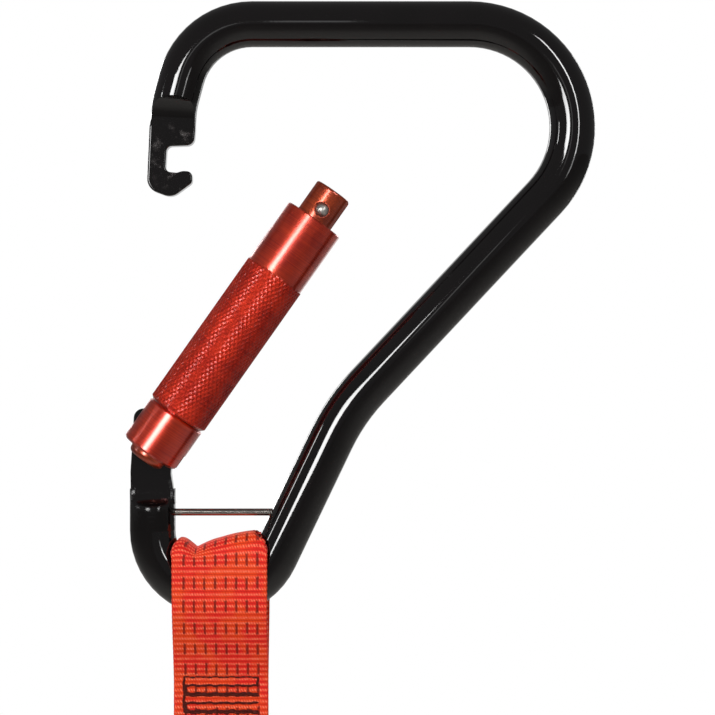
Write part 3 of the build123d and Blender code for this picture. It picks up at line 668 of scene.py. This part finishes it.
def stitch_line(made, start, end):
    """Stitches from one point to another on a face of the web, each a small bead of thread.
    They stray a little to and fro, each row in its own way."""
    start, end = Vector(start), Vector(end)
    count = max(1, round((end - start).length / STITCH))
    way = (end - start).normalized()
    aside = way.cross(BACK)
    turn = Matrix((way, BACK, -aside)).transposed().to_4x4()
    for k in range(count):
        middle = start.lerp(end, (k + 0.5) / count)
        middle += aside * WANDER * sin(2.3 * k + 900 * start.z)
        size = Matrix.Diagonal((LOOP_LONG, LOOP_DEEP, LOOP_HIGH, 1))
        bmesh.ops.create_uvsphere(made, u_segments=8, v_segments=5, radius=1,
                                  matrix=Matrix.Translation(middle) @ turn @ size)


def stitching(name, node_name):
    """The rows on both faces, at the heights of their CAD solids."""
    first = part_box(node_name)[1].z - THREAD / 2
    left, right = WEB_X - STITCH_W / 2, WEB_X + STITCH_W / 2
    made = bmesh.new()
    for face in (-1, 1):
        y = face * (WEB_T + STITCH_PROUD)
        for row in range(STITCH_ROWS):
            z = first - row * STITCH_PITCH
            for offset in (-TWICE_OFF, TWICE_OFF) if row in TWICE else (0,):
                stitch_line(made, (left, y, z + offset), (right, y, z + offset))
        # The rows are joined down the left side, and the first two down the right as well.
        for row in range(STITCH_ROWS - 1):
            top = first - row * STITCH_PITCH
            seams = [left] + [left + SIDE_OFF] * (row % 2) + [right] * (row == 0)
            for x in seams:
                stitch_line(made, (x, y, top), (x, y, top - STITCH_PITCH))
    piece = new_piece(name, made, THREAD_BLACK)
    piece.data.shade_smooth()
    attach(piece, "sling")
    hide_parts(node_name)


THREAD_BLACK = bonded_thread()
stitching("stitches_above", "upper_stitching")
stitching("stitches_below", "lower_stitching")


# ---- Studio --------------------------------------------------------------------------
# A white floor and backdrop, which the black bars mirror only dimly, as a dark room would
# be, and tall soft lamps beside the camera, which the bars and the sleeve mirror as lines.

LOOK_AT = Vector((-46.4 * MM, 0, -95.5 * MM))
CAMERA_AWAY = 0.824
FLOOR_Z, WALL_Y = -0.52, 1.45
EVEN_LIGHT = 0.1        # all round, where 1 is white
FLOOR_MIRRORED, WORLD_MIRRORED = 0.05, 0.06    # how bright they are in reflections


def background_share(tree, mirrored):
    """1 where the camera sees a surface, also through glass, and less where it is mirrored."""
    rays = node(tree, "ShaderNodeLightPath")
    seen = node(tree, "ShaderNodeMath", {0: rays.outputs["Is Camera Ray"],
                                         1: rays.outputs["Is Transmission Ray"]},
                operation="MAXIMUM").outputs["Value"]
    return node(tree, "ShaderNodeMath", {0: rays.outputs["Is Glossy Ray"], 1: mirrored,
                                         2: seen},
                operation="MULTIPLY_ADD", use_clamp=True).outputs["Value"]


def studio_card(name, size, place, turn, colour, glow, mirrored):
    """A flat floor or backdrop. Its glow is how far towards white it is seen, and the rest
    of it shows the lamps' light and the object's shadow."""
    made = bmesh.new()
    bmesh.ops.create_grid(made, x_segments=1, y_segments=1, size=0.5, matrix=(
        Matrix.Translation(place) @ turn @ Matrix.Diagonal((size[0], size[1], 1, 1))))
    material, tree, shader = new_finish(name, Roughness=0.9)
    shader.inputs["Base Color"].default_value = tone(colour)
    share = node(tree, "ShaderNodeMath", {0: background_share(tree, mirrored), 1: glow},
                 operation="MULTIPLY")
    light = node(tree, "ShaderNodeEmission")
    both = node(tree, "ShaderNodeMixShader", {0: share.outputs["Value"],
                                              1: shader.outputs["BSDF"],
                                              2: light.outputs["Emission"]})
    tree.links.new(both.outputs["Shader"], tree.nodes["Material Output"].inputs["Surface"])
    new_piece(name, made, material)


def lamp(name, azimuth, elevation, distance, width, height, radiance, spread=180, shine=True):
    """A rectangular lamp, placed by its bearing from the camera's axis. A grid may narrow its
    spread, in degrees, and one that doesn't shine gives light but is not mirrored."""
    light = bpy.data.lights.new(name, "AREA")
    light.shape = "RECTANGLE"
    light.size, light.size_y = width, height
    light.spread = radians(spread)
    # The power that gives this radiance: a narrow spread lets less of the light out.
    half = light.spread / 2
    light.energy = radiance * pi * width * height * (1 - half / tan(half))
    holder = bpy.data.objects.new(name, light)
    bpy.context.scene.collection.objects.link(holder)
    a, e = radians(azimuth), radians(elevation)
    way = Vector((sin(a) * cos(e), -cos(a) * cos(e), sin(e)))
    holder.location = LOOK_AT + way * distance
    holder.rotation_euler = way.to_track_quat("Z", "Y").to_euler()
    holder.visible_camera = False
    holder.visible_glossy = shine


studio_card("floor", (9.0, 9.0), (LOOK_AT.x, 0, FLOOR_Z), Matrix(), "#c4c1bc", 0.75,
            FLOOR_MIRRORED)
studio_card("backdrop", (1.6, 1.5), (LOOK_AT.x, WALL_Y, 0.05), Matrix.Rotation(pi / 2, 4, "X"),
            "#ffffff", 1.0, 1.0)
# name, azimuth, elevation, distance, width, height, radiance
lamp("key", -22, 9.5, 1.3, 0.38, 0.4, 20, spread=70)
lamp("right_strip", 31, 20, 1.3, 0.1, 0.78, 20, spread=70)
lamp("right_strip_foot", 31, 1, 1.3, 0.1, 0.14, 4, spread=70)
lamp("left_edge", -75, 16.5, 1.2, 0.07, 0.3, 14, spread=70)
lamp("front_line", -2, 9, 1.6, 0.1, 0.22, 0.9)
lamp("front_fill", -12, 42, 1.4, 1.0, 0.7, 6, spread=70, shine=False)
lamp("behind_left", -140, 30, 1.5, 0.9, 0.9, 2.0, shine=False)
lamp("behind_right", 140, 30, 1.5, 0.9, 0.9, 2.0, shine=False)
lamp("behind_left_strip", -152, 9, 1.5, 0.1, 0.6, 10, spread=70)
lamp("behind_right_strip", 149, 9, 1.5, 0.06, 0.9, 8, spread=70)
world = bpy.data.worlds.new("even_light")
world.use_nodes = True
sky = world.node_tree.nodes["Background"]
level = node(world.node_tree, "ShaderNodeMapRange", {
    "Value": background_share(world.node_tree, WORLD_MIRRORED), "To Min": EVEN_LIGHT})
sky.inputs["Color"].default_value = (1, 1, 1, 1)
world.node_tree.links.new(level.outputs["Result"], sky.inputs["Strength"])
bpy.context.scene.world = world
bpy.context.scene.view_settings.view_transform = "Standard"

camera = bpy.data.cameras.new("camera")
camera.lens, camera.sensor_width = 100, 36
camera.clip_start, camera.clip_end = 0.05, 20
holder = bpy.data.objects.new("camera", camera)
holder.location = LOOK_AT - Vector((0, CAMERA_AWAY, 0))
holder.rotation_euler = (pi / 2, 0, 0)
bpy.context.scene.collection.objects.link(holder)
bpy.context.scene.camera = holder
